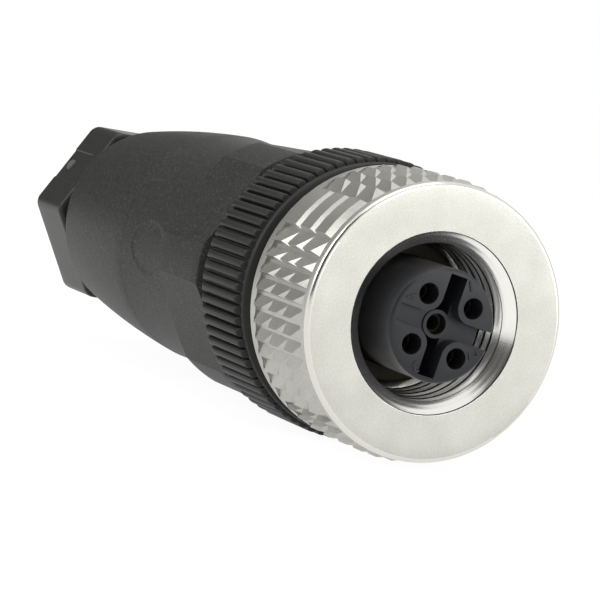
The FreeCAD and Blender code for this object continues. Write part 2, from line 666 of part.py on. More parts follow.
def make_gland_nut():
    """Hexagonal nut with rounded corners, a shallow gate recess on one flat, and a cable hole."""
    corner = GLAND_FLAT_RADIUS / math.cos(math.radians(30))
    points = []
    for step in range(6):
        at = place(GLAND_FRONT, corner, 30 + 60 * step)
        points.append((at.x, at.y, at.z, GLAND_CORNER_ROUND))
    body = Part.Face(rounded_wire(points)).extrude(Vector(-GLAND_LENGTH, 0, 0))
    body = body.common(turned([
        (GLAND_FRONT, 0.0),
        (GLAND_FRONT, corner - GLAND_FRONT_DROP),
        (GLAND_FRONT + GLAND_FRONT_BEVEL, corner),
        (GLAND_END - GLAND_REAR_CHAMFER, corner),
        (GLAND_END, corner - GLAND_REAR_DROP),
        (GLAND_END, 0.0),
    ]))
    cavity_end = GLAND_END - GLAND_END_WALL
    cavity = turned([
        (GLAND_FRONT - CUT_PAST, 0.0),
        (GLAND_FRONT - CUT_PAST, TAIL_RADIUS + GLAND_THREAD_CLEARANCE),
        (cavity_end - GLAND_CONE_LENGTH, TAIL_RADIUS + GLAND_THREAD_CLEARANCE),
        (cavity_end - GLAND_CONE_LENGTH, GLAND_CONE_RADIUS),
        (cavity_end, GLAND_CONE_TIP_RADIUS),
        (cavity_end, GLAND_HOLE_RADIUS),
        (GLAND_END + CUT_PAST, GLAND_HOLE_RADIUS),
        (GLAND_END + CUT_PAST, 0.0),
    ])
    body = body.cut(cavity)
    recess = block(GLAND_RECESS_WIDTH, GLAND_FLAT_RADIUS - GLAND_RECESS_DEPTH, GLAND_FLAT_RADIUS + CUT_PAST,
                   GLAND_FRONT + GLAND_RECESS_SET_BACK, GLAND_END + CUT_PAST, GLAND_RECESS_CLOCK)
    gate = spoke(GATE_RADIUS, TAIL_RADIUS + GATE_ROOT, GLAND_FLAT_RADIUS - GATE_SUNK,
                 (GLAND_FRONT + GLAND_END) / 2, GLAND_RECESS_CLOCK)
    return body.cut(recess).fuse(gate).removeSplitter()


def save(shape, name):
    """Write one piece, and stop if it isn't one sound solid."""
    solids = shape.Solids
    if len(solids) != 1 or not solids[0].isValid():
        raise ValueError("%s has %d solids" % (name, len(solids)))
    solids[0].exportStep("parts/%s.step" % name)
    print("%-20s volume %8.2f mm3, faces %d" % (name, solids[0].Volume, len(solids[0].Faces)))


os.makedirs("parts", exist_ok=True)
save(make_coupling_nut(), "coupling_nut")
save(make_contact_insert(), "contact_insert")
save(make_face_seal(), "face_seal")
for number in range(1, 6):
    save(make_contact(number), "contact_%d" % number)
    save(make_pressure_plate(number), "pressure_plate_%d" % number)
    save(make_terminal_screw(number), "terminal_screw_%d" % number)
save(make_terminal_block(), "terminal_block")
save(make_ribbed_collar(), "ribbed_collar")
save(make_body_seal(), "body_seal")
save(make_grip_sleeve(), "grip_sleeve")
save(make_cable_seal(), "cable_seal")
save(make_clamp_cage(), "clamp_cage")
save(make_gland_nut(), "gland_nut")
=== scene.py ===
import bmesh
import bpy
import math
from mathutils import Matrix, Vector


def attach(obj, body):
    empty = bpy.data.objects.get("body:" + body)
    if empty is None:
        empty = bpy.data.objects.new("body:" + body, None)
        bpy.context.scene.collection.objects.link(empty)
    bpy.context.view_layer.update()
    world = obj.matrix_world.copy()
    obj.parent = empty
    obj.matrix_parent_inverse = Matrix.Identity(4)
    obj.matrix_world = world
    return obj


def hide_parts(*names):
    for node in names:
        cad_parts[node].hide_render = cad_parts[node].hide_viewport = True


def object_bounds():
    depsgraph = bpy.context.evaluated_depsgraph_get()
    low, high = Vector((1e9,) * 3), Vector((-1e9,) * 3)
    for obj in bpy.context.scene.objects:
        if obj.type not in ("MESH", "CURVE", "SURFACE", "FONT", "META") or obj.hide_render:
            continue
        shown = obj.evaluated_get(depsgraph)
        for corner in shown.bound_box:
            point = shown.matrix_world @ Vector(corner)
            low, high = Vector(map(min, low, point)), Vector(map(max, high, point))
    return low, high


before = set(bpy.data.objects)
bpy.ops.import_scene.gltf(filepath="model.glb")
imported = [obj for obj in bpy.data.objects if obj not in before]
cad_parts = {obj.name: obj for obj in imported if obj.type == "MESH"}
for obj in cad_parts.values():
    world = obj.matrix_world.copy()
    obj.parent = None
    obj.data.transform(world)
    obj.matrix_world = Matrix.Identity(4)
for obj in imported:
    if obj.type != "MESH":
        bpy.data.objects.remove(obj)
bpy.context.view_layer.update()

# Coupling nut: a zinc casting, nickel plated, with its face blasted and its bore turned and
# threaded M12 x 1. It was cast in two halves, so one wide plain tooth stands at each parting
# line, and the saw-cut knurl leans towards that line on both sides.
MM = 0.001
MERGE_GAP = 0.0005
NUT_FACE_ROWS = [(0.0, 6.62), (0.0, 7.6), (0.0, 8.6), (0.0, 9.4)]
NUT_RIM_RADIUS = 9.72
NUT_RIM_ROUND = 0.3
NUT_RIM_STEPS = 9
RIM_INNER = NUT_RIM_RADIUS - NUT_RIM_ROUND
RIM_SLACK = 0.02
FACE_SLACK = 0.002
NUT_REAR_ROWS = [(8.2, 9.84), (9.02, 9.84), (9.14, 9.79), (9.2, 9.66), (9.2, 8.0), (9.2, 4.72)]
NUT_BORE_ROWS = [(8.0, 4.72), (8.0, 6.1), (6.35, 6.1), (6.25, 6.03), (1.08, 6.03), (0.78, 5.5), (0.68, 5.5),
                 (0.5, 5.77), (0.32, 6.05), (0.14, 6.33), (0.08, 6.33), (0.05, 6.34), (0.01, 6.37)]
MOUTH_RADIUS = 6.39
BORE_END = 8.1
TURNED = 1
BURNISHED = 2
KNURL_CREST = 10.0
KNURL_FRONT_RADIUS = 9.65
KNURL_VALLEY = 9.58
PARTING_CREST = 9.91
KNURL_FRONT = 0.88
KNURL_LEAD = 0.02
KNURL_PITCH = 2.44
KNURL_ROWS = 3
CONE_LENGTH = 1.07
CONE_RISE = KNURL_CREST - KNURL_FRONT_RADIUS
CONE_SHARES = [0.0, 0.4, (PARTING_CREST - KNURL_FRONT_RADIUS) / CONE_RISE, 1.0]
KNURL_PARTING = -51.2
KNURL_STEEP = 0.9
KNURL_FLOOR = 1.4
KNURL_MIDDLE = 90.1
CREST_SHARES = [0.0, 0.33, 0.67, 1.0]
KNURL_VALLEYS = [10.8] + [20.8 + 6.92 * step for step in range(21)] + [169.2]
THREAD_CREST = 5.46
THREAD_ROOT = 6.05
THREAD_SOFTENING = 0.05
THREAD_PITCH = 1.0
THREAD_START = 0.72
THREAD_TURNS = 5
THREAD_STEPS = 120


def at(depth, radius, clock):
    """The point at a depth behind the nut's face, a radius and a clock angle, all in the drawing's units."""
    turn = math.radians(clock)
    return Vector((-depth, radius * math.sin(turn), radius * math.cos(turn))) * MM


def walked(mesh, rows):
    """Extrude a ring of points through rows of (depth, radius, clock) and close it on the first row."""
    ring = list(bmesh.ops.create_circle(mesh, segments=len(rows[0]), radius=MM)["verts"])
    for number, row in enumerate(rows + rows[:1]):
        if number:
            edges = [mesh.edges.get(pair) for pair in zip(ring, ring[1:] + ring[:1])]
            made = set(bmesh.ops.extrude_edge_only(mesh, edges=edges)["geom"])
            ring = [next(e.other_vert(v) for e in v.link_edges if e.other_vert(v) in made) for v in ring]
        for vertex, point in zip(ring, row):
            vertex.co = at(*point)
    bmesh.ops.remove_doubles(mesh, verts=mesh.verts, dist=MERGE_GAP * MM)
    bmesh.ops.recalc_face_normals(mesh, faces=mesh.faces)


def round_rows(outline, clocks):
    """Rows that are plain circles, one for each (depth, radius) of the outline."""
    return [[(depth, radius, clock) for clock in clocks] for depth, radius in outline]


def piece(name, mesh, nodes, body, materials, crease=30, bevel=None):
    """Turn a finished bmesh into a shown piece that stands for its node."""
    data = bpy.data.meshes.new(name)
    mesh.to_mesh(data)
    mesh.free()
    # The CAD mesh's own corner normals no longer fit once its points are merged.
    if "custom_normal" in data.attributes:
        data.attributes.remove(data.attributes["custom_normal"])
    data.polygons.foreach_set("use_smooth", [True] * len(data.polygons))
    data.set_sharp_from_angle(angle=math.radians(crease))
    made = bpy.data.objects.new(name, data)
    bpy.context.scene.collection.objects.link(made)
    for material in materials:
        data.materials.append(material)
    if bevel:
        edge = made.modifiers.new("worn_edges", "BEVEL")
        edge.width = bevel * MM
        edge.segments = 2
        edge.limit_method = "ANGLE"
        edge.angle_limit = math.radians(crease)
        edge.use_clamp_overlap = False
        edge.loop_slide = False
        edge.harden_normals = True
    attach(made, body)
    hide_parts(*nodes)
    return made


def linear(code):
    """The linear colour of an sRGB hex value."""
    parts = [int(code[start:start + 2], 16) / 255 for start in (1, 3, 5)]
    return [part / 12.92 if part <= 0.04045 else ((part + 0.055) / 1.055) ** 2.4 for part in parts] + [1.0]


def add(tree, kind, inputs=None, links=None, **settings):
    """Add one node with its settings, its input values and the sockets that feed it."""
    node = tree.nodes.new(kind)
    for name, value in settings.items():
        setattr(node, name, value)
    for name, value in (inputs or {}).items():
        node.inputs[name].default_value = value
    for name, source in (links or {}).items():
        tree.links.new(source, node.inputs[name])
    return node


def tree_of(name):
    """A new material with an empty node tree."""
    material = bpy.data.materials.new(name)
    material.use_nodes = True
    material.node_tree.nodes.clear()
    return material, material.node_tree


# Blasted nickel: a warm pale grey metal whose fine pits blur every reflection. The pits are
# about 0.05 mm on the real nut and drawn at 0.12 mm, the finest that shows.
satin_nickel, tree = tree_of("satin_nickel")
place = add(tree, "ShaderNodeTexCoord").outputs["Object"]
pits = add(tree, "ShaderNodeTexNoise", {"Scale": 1 / (0.12 * MM), "Detail": 2.0, "Roughness": 0.6},
           {"Vector": place})
cloud = add(tree, "ShaderNodeTexNoise", {"Scale": 1 / (2.5 * MM), "Detail": 3.0}, {"Vector": place})
blend = add(tree, "ShaderNodeMath", {1: 0.6}, {0: pits.outputs["Fac"]}, operation="MULTIPLY")
blend = add(tree, "ShaderNodeMath", {1: 0.4}, {0: cloud.outputs["Fac"], 2: blend.outputs[0]},
            operation="MULTIPLY_ADD")
tone = add(tree, "ShaderNodeValToRGB", links={"Fac": blend.outputs[0]})
tone.color_ramp.elements[0].position = 0.3
tone.color_ramp.elements[0].color = linear("#A8A7A0")
tone.color_ramp.elements[1].position = 0.7
tone.color_ramp.elements[1].color = linear("#BFBEB7")
relief = add(tree, "ShaderNodeBump", {"Strength": 0.35, "Distance": 0.012 * MM},
             {"Height": pits.outputs["Fac"]})
surface = add(tree, "ShaderNodeBsdfPrincipled", {"Metallic": 1.0, "Roughness": 0.36},
              {"Base Color": tone.outputs["Color"], "Normal": relief.outputs["Normal"]})
add(tree, "ShaderNodeOutputMaterial", links={"Surface": surface.outputs[0]})

# Turned nickel: the cut bore and its thread, bright, with the fine rings that the tool left at
# a feed of about 0.1 mm. They are drawn about 0.2 mm apart, the finest that shows.
turned_nickel, tree = tree_of("turned_nickel")
place = add(tree, "ShaderNodeTexCoord").outputs["Object"]
lines = add(tree, "ShaderNodeTexWave", {"Scale": 1 / (0.7 * MM), "Distortion": 0.8, "Detail": 1.0},
            {"Vector": place}, wave_type="BANDS", bands_direction="X")
relief = add(tree, "ShaderNodeBump", {"Strength": 0.5, "Distance": 0.006 * MM},
             {"Height": lines.outputs["Fac"]})
surface = add(tree, "ShaderNodeBsdfPrincipled",
              {"Base Color": linear("#F0EFEA"), "Metallic": 1.0, "Roughness": 0.2},
              {"Normal": relief.outputs["Normal"]})
add(tree, "ShaderNodeOutputMaterial", links={"Surface": surface.outputs[0]})


def worn_metal(name, colour, patch, low, high):
    """A bare metal whose roughness drifts between two values in patches of a size in millimetres."""
    material, tree = tree_of(name)
    place = add(tree, "ShaderNodeTexCoord").outputs["Object"]
    scuffs = add(tree, "ShaderNodeTexNoise", {"Scale": 1 / (patch * MM), "Detail": 3.0}, {"Vector": place})
    worn = add(tree, "ShaderNodeMapRange", {"To Min": low, "To Max": high}, {"Value": scuffs.outputs["Fac"]})
    surface = add(tree, "ShaderNodeBsdfPrincipled", {"Base Color": linear(colour), "Metallic": 1.0},
                  {"Roughness": worn.outputs[0]})
    add(tree, "ShaderNodeOutputMaterial", links={"Surface": surface.outputs[0]})
    return material


# Burnished nickel: the narrow outer edge of the face, rubbed bright by handling.
burnished_nickel = worn_metal("burnished_nickel", "#DAD8D1", 0.35, 0.12, 0.26)

# Each tooth rises from a valley to the two ends of its crest, which run together where the saw
# profile is at its full height, and drops steeply to a narrow floor. The wide teeth at the
# parting lines are dressed a little lower.
teeth = []
for half in range(2):
    start = KNURL_PARTING + 180 * half
    for low, high in zip(KNURL_VALLEYS, KNURL_VALLEYS[1:]):
        if high < KNURL_MIDDLE:
            high -= KNURL_FLOOR
            crest = high - KNURL_STEEP
        else:
            low += KNURL_FLOOR
            crest = low + KNURL_STEEP
        teeth.append((start + low, start + crest, start + crest, start + high, KNURL_CREST))
    low, high = start + KNURL_VALLEYS[-1], start + 180 + KNURL_VALLEYS[0]
    teeth.append((low, low + KNURL_STEEP, high - KNURL_STEEP, high, PARTING_CREST))


def knurl_row(depth, saw):
    """The row of points across all teeth at a depth where the saw profile has the given radius."""
    row = []
    for low, first, last, high, crest in teeth:
        height = min(saw, crest)
        reach = (height - KNURL_VALLEY) / (crest - KNURL_VALLEY)
        rise = low + (first - low) * reach
        fall = high + (last - high) * reach
        row.append((depth, min(saw, KNURL_VALLEY), low))
        row.extend((depth, height, rise + (fall - rise) * share) for share in CREST_SHARES)
        row.append((depth, min(saw, KNURL_VALLEY), high))
    return row


even = [point[2] for point in knurl_row(0.0, KNURL_FRONT_RADIUS)]
rim = []
for number in range(1, NUT_RIM_STEPS + 1):
    turn = math.radians(90 * number / NUT_RIM_STEPS)
    rim.append((NUT_RIM_ROUND * (1 - math.cos(turn)), NUT_RIM_RADIUS - NUT_RIM_ROUND * (1 - math.sin(turn))))
rim.append((KNURL_FRONT - KNURL_LEAD, NUT_RIM_RADIUS))
rows = round_rows([(0.0, MOUTH_RADIUS)] + NUT_FACE_ROWS + rim, even)
for number in range(KNURL_ROWS):
    start = KNURL_FRONT + KNURL_PITCH * number
    for share in CONE_SHARES:
        rows.append(knurl_row(start + CONE_LENGTH * share, KNURL_FRONT_RADIUS + CONE_RISE * share))
    rows.append(knurl_row(start + KNURL_PITCH, KNURL_CREST))
rows.extend(round_rows(NUT_REAR_ROWS + NUT_BORE_ROWS, even))
shell = bmesh.new()
walked(shell, rows)
for face in shell.faces:
    middle = face.calc_center_median() / MM
    radius = math.hypot(middle.y, middle.z)
    depth = -middle.x
    on_rim = RIM_INNER < radius < NUT_RIM_RADIUS + RIM_SLACK and FACE_SLACK < depth < NUT_RIM_ROUND
    if radius < MOUTH_RADIUS and depth < BORE_END:
        face.material_index = TURNED
    elif on_rim:
        face.material_index = BURNISHED

# The thread is a ridge with flanks at 60 degrees and a softly rounded crest, wound into the bore.
profile = [(0.03, THREAD_ROOT), (0.36, THREAD_CREST + THREAD_SOFTENING), (0.5, THREAD_CREST),
           (0.64, THREAD_CREST + THREAD_SOFTENING), (0.97, THREAD_ROOT)]
corners = [shell.verts.new(at(THREAD_START + depth * THREAD_PITCH, radius, 0)) for depth, radius in profile]
ridge = shell.faces.new(corners)
ridge.material_index = TURNED
before = set(shell.faces)
bmesh.ops.spin(shell, geom=[ridge] + list(ridge.edges) + corners, axis=(1, 0, 0), cent=(0, 0, 0),
               dvec=(-THREAD_PITCH * MM / THREAD_STEPS, 0, 0), angle=2 * math.pi * THREAD_TURNS,
               steps=THREAD_TURNS * THREAD_STEPS)
wound = [face for face in shell.faces if face not in before]
for face in wound:
    face.material_index = TURNED
bmesh.ops.recalc_face_normals(shell, faces=wound + [ridge])
piece("nut_shell", shell, ["coupling_nut"], "nut",
      [satin_nickel, turned_nickel, burnished_nickel], crease=12, bevel=0.015)

# Contact insert: moulded in one piece of glass-filled polyamide, blue-black and rather smooth,
# with its socket numbers raised on the face. It is pushed into the collar from the front.
INSERT_FACE_DEPTH = -1.1
NUMBER_HEIGHT = 1.05
NUMBER_RELIEF = 0.07
NUMBER_SWELL = 0.02
NUMBERS = {
    "1": (3.35, 28.0, -20.0),
    "2": (3.2, 122.0, 70.0),
    "3": (3.3, 206.0, 160.0),
    "4": (3.15, 302.0, 250.0),
}
SPECK_FADE = 0.14


def merged_copy(node):
    """A bmesh of a CAD node with its loose triangles joined into one skin."""
    mesh = bmesh.new()
    mesh.from_mesh(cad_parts[node].data)
    bmesh.ops.remove_doubles(mesh, verts=mesh.verts, dist=MERGE_GAP * MM)
    for face in mesh.faces:
        face.material_index = 0
    return mesh


def plastic(name, low, high, roughness, grain, depth, specks=None, gloss=0.3):
    """A moulded plastic: two near tones in clouds, a grain of a size in millimetres, and pale specks."""
    material, tree = tree_of(name)
    place = add(tree, "ShaderNodeTexCoord").outputs["Object"]
    cloud = add(tree, "ShaderNodeTexNoise", {"Scale": 1 / (1.6 * MM), "Detail": 4.0}, {"Vector": place})
    colour = add(tree, "ShaderNodeMix", {6: linear(low), 7: linear(high)}, {0: cloud.outputs["Fac"]},
                 data_type="RGBA").outputs[2]
    skin = add(tree, "ShaderNodeTexNoise", {"Scale": 1 / (grain * MM), "Detail": 2.0, "Roughness": 0.65},
               {"Vector": place})
    if specks:
        bright, share = specks
        pick = add(tree, "ShaderNodeMapRange", {"From Min": share, "From Max": share + SPECK_FADE},
                   {"Value": skin.outputs["Fac"]})
        colour = add(tree, "ShaderNodeMix", {7: linear(bright)}, {0: pick.outputs[0], 6: colour},
                     data_type="RGBA").outputs[2]
    relief = add(tree, "ShaderNodeBump", {"Strength": 0.6, "Distance": depth * MM},
                 {"Height": skin.outputs["Fac"]})
    surface = add(tree, "ShaderNodeBsdfPrincipled",
                  {"Roughness": roughness, "IOR": 1.5, "Specular IOR Level": gloss},
                  {"Base Color": colour, "Normal": relief.outputs["Normal"]})
    add(tree, "ShaderNodeOutputMaterial", links={"Surface": surface.outputs[0]})
    return material


insert_polyamide = plastic("insert_polyamide", "#26272A", "#2C2D31", 0.36, 0.3, 0.006, gloss=0.28)
shell = merged_copy("contact_insert")
piece("insert_moulding", shell, ["contact_insert"], "connector_body",
      [insert_polyamide], crease=26)
for digit, (radius, clock, lean) in NUMBERS.items():
    text = bpy.data.curves.new("number_" + digit, "FONT")
    text.body = digit
    text.size = NUMBER_HEIGHT * MM
    text.align_x = "CENTER"
    text.align_y = "CENTER"
    text.extrude = NUMBER_RELIEF * MM
    text.offset = NUMBER_SWELL * MM
    holder = bpy.data.objects.new("number_" + digit, text)
    bpy.context.scene.collection.objects.link(holder)
    flat = bpy.data.meshes.new_from_object(holder)
    bpy.data.objects.remove(holder)
    facing = Matrix(((0, 0, 1), (1, 0, 0), (0, 1, 0))).to_4x4()
    turn = Matrix.Rotation(-math.radians(lean), 4, "X")
    flat.transform(Matrix.Translation(at(INSERT_FACE_DEPTH, radius, clock)) @ turn @ facing)
    flat.materials.clear()
    flat.materials.append(insert_polyamide)
    number = bpy.data.objects.new("socket_number_" + digit, flat)
    bpy.context.scene.collection.objects.link(number)
    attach(number, "connector_body")

# Face seal and the inner seals: moulded nitrile and fluorocarbon rings, dull and dark, with an
# olive cast where the light gets down to them.
seal_rubber = plastic("seal_rubber", "#2C2818", "#383220", 0.62, 0.2, 0.004)
for node, body in (("face_seal", "connector_body"), ("body_seal", "connector_body"), ("cable_seal", "seal")):
    piece(node + "_ring", merged_copy(node), [node], body, [seal_rubber], crease=35)

# Ribbed collar: a black polyamide grip ring with 78 half-round ribs. It is snapped over the
# insert's neck behind the nut, and its threaded spigot takes the sleeve.
RIBS = 78
RIB_TURN = 4.0
RIB_HALF_SHAPE = [(0.43, 0.0), (0.41, 0.3), (0.35, 0.66), (0.26, 0.88), (0.14, 0.98)]
RIB_SHAPE = [(-share, height) for share, height in RIB_HALF_SHAPE] + [(0.0, 1.0)] + RIB_HALF_SHAPE[::-1]
RIB_ROOT = 9.74
RIB_CREST = 10.2
COLLAR_FRONT_ROWS = [(13.0, 4.7), (9.6, 4.7), (9.6, 6.5), (9.6, 8.9), (10.22, 9.7), (10.3, 9.79),
                     (10.4, 9.84), (10.5, 9.86), (10.66, 9.86), (10.74, 9.84)]
RIB_ROWS = [(10.8, 0.2), (10.86, 0.45), (10.94, 0.75), (11.06, 0.94), (11.24, 1.0), (16.75, 1.0),
            (16.95, 0.95), (17.1, 0.82), (17.2, 0.6), (17.27, 0.3), (17.3, 0.05)]
COLLAR_REAR_ROWS = [(17.3, 9.4), (17.3, 8.0), (17.5, 8.0), (17.5, 7.35), (18.6, 7.35), (18.6, 8.0),
                    (22.7, 8.0), (23.1, 7.6), (23.1, 6.65), (13.0, 6.65)]
step = 360 / RIBS
clocks = [RIB_TURN + step * (rib + share) for rib in range(RIBS) for share, height in RIB_SHAPE]
rows = round_rows(COLLAR_FRONT_ROWS, clocks)
heights = [height for rib in range(RIBS) for share, height in RIB_SHAPE]
for depth, limit in RIB_ROWS:
    rows.append([(depth, RIB_ROOT + (RIB_CREST - RIB_ROOT) * min(height, limit), clock)
                 for height, clock in zip(heights, clocks)])
rows.extend(round_rows(COLLAR_REAR_ROWS, clocks))
collar_polyamide = plastic("collar_polyamide", "#20201E", "#262624", 0.45, 0.25, 0.006, gloss=0.2)
shell = bmesh.new()
walked(shell, rows)
piece("ribbed_ring", shell, ["ribbed_collar"], "connector_body", [collar_polyamide],
      crease=62)

# Terminal parts: gold-flashed brass sockets with their clamp boxes, zinc-plated steel screws
# and plates, and the black block that holds them. All are hidden while the sleeve is on.
CONTACTS = 5
SOCKET_END = -20.0
gold_flash = worn_metal("gold_flash", "#C49A52", 0.8, 0.22, 0.38)
zinc_plate = worn_metal("zinc_plate", "#C4C6C8", 0.5, 0.28, 0.45)
block_polyamide = plastic("block_polyamide", "#242526", "#2B2C2D", 0.5, 0.3, 0.008)
piece("block_moulding", merged_copy("terminal_block"), ["terminal_block"], "connector_body",
      [block_polyamide], crease=35, bevel=0.04)

# Painted shade on the gold: the drilled sockets in front of the clamp boxes lie deep in the insert and show
# nearly black, so the shade they lie in is painted as a dark matt brown, with no mirror that would catch the
# lamps.
painted_shade_gold, tree = tree_of("painted_shade_gold")
place = add(tree, "ShaderNodeTexCoord").outputs["Object"]
# The painted shade is mottled between two dark browns.
painted_shade_mottle = add(tree, "ShaderNodeTexNoise", {"Scale": 1 / (0.4 * MM), "Detail": 3.0}, {"Vector": place})
tone = add(tree, "ShaderNodeMix", {6: linear("#2E2A22"), 7: linear("#3A3428")}, {0: painted_shade_mottle.outputs["Fac"]},
           data_type="RGBA")
surface = add(tree, "ShaderNodeBsdfPrincipled", {"Roughness": 0.6, "Specular IOR Level": 0.1},
              {"Base Color": tone.outputs[2]})
add(tree, "ShaderNodeOutputMaterial", links={"Surface": surface.outputs[0]})
for number in range(1, CONTACTS + 1):
    for node, body, slot, metal in (("contact_%d", "connector_body", "gold", gold_flash),
                                    ("pressure_plate_%d", "plate_%d" % number, "screw_steel", zinc_plate),
                                    ("terminal_screw_%d", "screw_%d" % number, "screw_steel", zinc_plate)):
        node = node % number
        shell = merged_copy(node)
        for face in shell.faces:
            # The gold faces in front of the socket end, the sockets' bores, take the painted shade.
            face.material_index = int(slot == "gold" and face.calc_center_median().x > SOCKET_END * MM)
        piece(node + "_metal", shell, [node], body, [metal, painted_shade_gold], crease=35)

# Grip sleeve: black polyamide from a spark-eroded mould, so its skin is evenly speckled. The
# hip is a hexagon whose corners are turned down to a circle, the waist is plain, and the
# barrel tapers to the gland nut. It screws on to the collar's spigot.
HIP_FLAT = 9.07
HIP_LEAST_MEET = 3.0
HIP_ROUND_MEET = 21.5
HALF_SECTOR = 30.0
HIP_ROWS = [(17.45, 8.72), (17.5, 8.76), (17.62, 8.8), (18.3, 8.86), (18.6, 8.95), (18.78, 9.06),
            (18.9, 9.22), (18.99, 9.4), (19.06, 9.56), (19.13, 9.66), (19.22, 9.72), (19.36, 9.75),
            (20.5, 9.75), (22.5, 9.75), (24.5, 9.75), (26.1, 9.75), (26.3, 9.74), (26.42, 9.68),
            (26.52, 9.55), (26.62, 9.36), (26.72, 9.18), (26.8, 9.04), (26.86, 8.93)]
WAIST_START = 26.95
WAIST_END = 36.1
WAIST_STEP = 0.13
WAIST_FRONT = 8.86
WAIST_MIDDLE = 8.8
WAIST_REAR = 8.87
BARREL_START = 36.5
BARREL_FRONT = 8.91
BARREL_STEP = 1.4
BARREL_ROUND_START = 51.45
BARREL_END = 7.58
BARREL_BELLY = 0.16
BARREL_ROUND = 1.1
BARREL_ROUND_STEPS = 7
SLEEVE_INNER_ROWS = [(52.55, 5.5), (55.8, 5.5), (56.15, 5.2), (56.15, 4.45), (42.7, 4.45), (36.2, 7.1),
                     (23.75, 7.1), (23.75, 8.07), (18.95, 8.07), (18.95, 8.45), (17.45, 8.45)]
PAD_DEPTH = 31.15
PAD_CLOCK = 268.0
PAD_HALF_LENGTH = 3.2
PAD_HALF_WIDTH = 2.1
PAD_SINK = 0.07
PAD_EDGE = 0.25
SECTOR_POINTS = 13


def hip_row(depth, circle):
    """A hexagon cut by a circle, with points at every corner where the two meet."""
    meet = HIP_ROUND_MEET
    if circle > HIP_FLAT:
        meet = max(math.degrees(math.acos(HIP_FLAT / circle)), HIP_LEAST_MEET)
    row = []
    for flat in range(6):
        middle = 60 * flat
        for low, high in ((-HALF_SECTOR, -meet), (-meet, 0.0), (0.0, meet), (meet, HALF_SECTOR)):
            for number in range(SECTOR_POINTS):
                away = low + (high - low) * number / SECTOR_POINTS
                wall = HIP_FLAT / math.cos(math.radians(away))
                row.append((depth, min(circle, wall), middle + away))
    return row


def waist_radius(depth):
    """The waist is drawn in a little between the hip and the barrel."""
    middle = (WAIST_START + WAIST_END) / 2
    away = (depth - middle) / (WAIST_END - middle)
    edge = WAIST_FRONT if away < 0 else WAIST_REAR
    return WAIST_MIDDLE + (edge - WAIST_MIDDLE) * away * away


def pad_sink(depth, clock):
    """How far the oval recess sinks the waist at a place."""
    across = math.radians((clock - PAD_CLOCK + 180) % 360 - 180) * WAIST_MIDDLE
    reach = math.hypot((depth - PAD_DEPTH) / PAD_HALF_LENGTH, across / PAD_HALF_WIDTH)
    inside = min(1.0, max(0.0, (1 - reach) * PAD_HALF_WIDTH / PAD_EDGE))
    return PAD_SINK * inside * inside * (3 - 2 * inside)


rows = [hip_row(depth, circle) for depth, circle in HIP_ROWS]
clocks = [360 / len(rows[0]) * number - HALF_SECTOR for number in range(len(rows[0]))]
count = int((WAIST_END - WAIST_START) / WAIST_STEP)
for number in range(count + 1):
    depth = WAIST_START + (WAIST_END - WAIST_START) * number / count
    rows.append([(depth, waist_radius(depth) - pad_sink(depth, clock), clock) for clock in clocks])
count = int((BARREL_ROUND_START - BARREL_START) / BARREL_STEP)
barrel = []
for number in range(count + 1):
    share = number / count
    radius = BARREL_FRONT + (BARREL_END - BARREL_FRONT) * share + 4 * BARREL_BELLY * share * (1 - share)
    barrel.append((BARREL_START + (BARREL_ROUND_START - BARREL_START) * share, radius))
for number in range(1, BARREL_ROUND_STEPS + 1):
    turn = math.radians(90 * number / BARREL_ROUND_STEPS)
    radius = BARREL_END - BARREL_ROUND * (1 - math.cos(turn))
    barrel.append((BARREL_ROUND_START + BARREL_ROUND * math.sin(turn), radius))
rows.extend(round_rows(barrel + SLEEVE_INNER_ROWS, clocks))
sleeve_polyamide = plastic("sleeve_polyamide", "#20201F", "#282826", 0.5, 0.13, 0.018,
                           specks=("#4E4E4C", 0.54), gloss=0.22)
shell = bmesh.new()
walked(shell, rows)
piece("sleeve_shell", shell, ["grip_sleeve"], "sleeve", [sleeve_polyamide], crease=14)

# Clamp cage: a slotted cage moulded in black polyamide, between the cable seal and the gland
# nut. Its fingers close on the cable when the nut is screwed down.
cage_polyamide = plastic("cage_polyamide", "#2A2B2C", "#323334", 0.5, 0.3, 0.008)
piece("cage_moulding", merged_copy("clamp_cage"), ["clamp_cage"], "cage", [cage_polyamide],
      crease=35, bevel=0.03)

# Gland nut: a smooth black hexagon moulded in one piece, with well rounded corners and a
# shallow recess round its gate mark on one flat. It closes the cage on the cable.
GLAND_FLAT = 6.8
GLAND_ROUND = 1.0
GLAND_FRONT_ROWS = [(52.95, 0.3), (52.98, 0.2), (53.05, 0.1), (53.15, 0.03), (53.28, 0.0), (53.52, 0.0)]
GLAND_SIDE_ROWS = [(53.62, 0.0), (55.0, 0.0), (56.5, 0.0), (58.1, 0.0)]
GLAND_REAR_ROWS = [(58.3, 0.01), (58.5, 0.07), (58.66, 0.17), (58.78, 0.32), (58.84, 0.5)]
GLAND_INNER_ROWS = [(58.85, 5.6), (58.85, 3.3), (57.75, 3.3), (57.75, 3.6), (56.75, 4.6),
                    (56.75, 5.58), (52.95, 5.58)]
GLAND_CORNER_STEPS = 8
FLAT_SHARE = 0.7
RECESS_FLAT = 5
RECESS_HALF_WIDTH = 1.45
RECESS_EDGE = 0.1
RECESS_SINK = 0.07
GATE_DEPTH = 57.0
GATE_RADIUS = 0.5
GATE_HEIGHT = 0.28
flat_half = (GLAND_FLAT - GLAND_ROUND) * math.tan(math.radians(30))
acrosses = [-flat_half * FLAT_SHARE, -RECESS_HALF_WIDTH, -RECESS_HALF_WIDTH + RECESS_EDGE, 0.0,
            RECESS_HALF_WIDTH - RECESS_EDGE, RECESS_HALF_WIDTH, flat_half * FLAT_SHARE]


def flat_point(depth, flat, height, across):
    """The point at a height over the axis and a place across one of the six flats."""
    return depth, math.hypot(height, across), 60 * flat + math.degrees(math.atan2(across, height))


